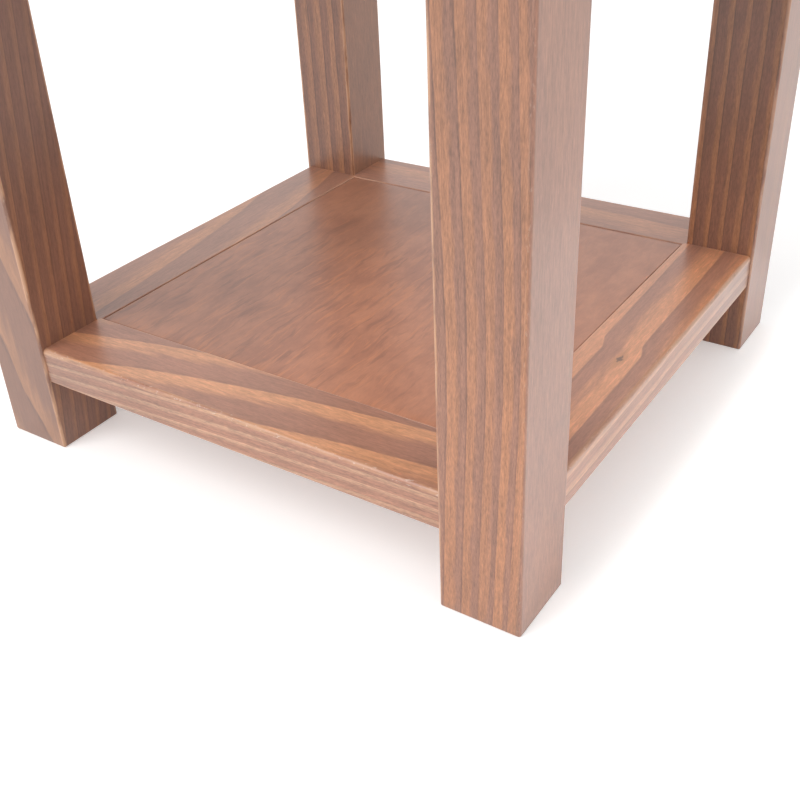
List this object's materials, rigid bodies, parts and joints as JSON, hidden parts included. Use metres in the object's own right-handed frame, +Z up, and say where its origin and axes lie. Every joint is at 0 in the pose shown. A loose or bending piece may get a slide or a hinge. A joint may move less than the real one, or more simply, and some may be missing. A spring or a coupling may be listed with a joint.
{
  "type": "end table with shelf",
  "caption": "Square wooden end table on thick square legs, with a flat top, aprons and a framed lower shelf holding a dropped-in panel.",
  "frame": {"origin": "on the floor under the middle of the table", "axes": "+Z up, +X to the right and -Y towards the front"},
  "size_m": [0.508, 0.508, 0.56],
  "materials": {
    "leg_wood": "stained walnut tone, satin lacquer",
    "rail_wood": "stained walnut tone, satin lacquer",
    "panel_veneer": "stained plywood veneer, satin lacquer",
    "apron_wood": "stained walnut tone, satin lacquer",
    "top_wood": "stained walnut tone, satin lacquer",
    "block_wood": "bare planed softwood",
    "dowel_wood": "bare beech",
    "screw_steel": "yellow zinc plating"
  },
  "bodies": {
    "root": {"apron_back": "apron_wood", "apron_dowels_back": "dowel_wood", "apron_dowels_front": "dowel_wood", "apron_dowels_left": "dowel_wood", "apron_dowels_right": "dowel_wood", "apron_front": "apron_wood", "apron_left": "apron_wood", "apron_right": "apron_wood", "block_screws_back_left": "screw_steel", "block_screws_back_right": "screw_steel", "block_screws_front_left": "screw_steel", "block_screws_front_right": "screw_steel", "corner_block_back_left": "block_wood", "corner_block_back_right": "block_wood", "corner_block_front_left": "block_wood", "corner_block_front_right": "block_wood", "leg_back_left": "leg_wood", "leg_back_right": "leg_wood", "leg_front_left": "leg_wood", "leg_front_right": "leg_wood", "shelf_dowels_back": "dowel_wood", "shelf_dowels_front": "dowel_wood", "shelf_dowels_left": "dowel_wood", "shelf_dowels_right": "dowel_wood", "shelf_panel": "panel_veneer", "shelf_rail_back": "rail_wood", "shelf_rail_front": "rail_wood", "shelf_rail_left": "rail_wood", "shelf_rail_right": "rail_wood", "top_board_1": "top_wood", "top_board_2": "top_wood", "top_board_3": "top_wood", "top_board_4": "top_wood", "top_board_5": "top_wood", "top_screws": "screw_steel"}
  },
  "joints": []
}
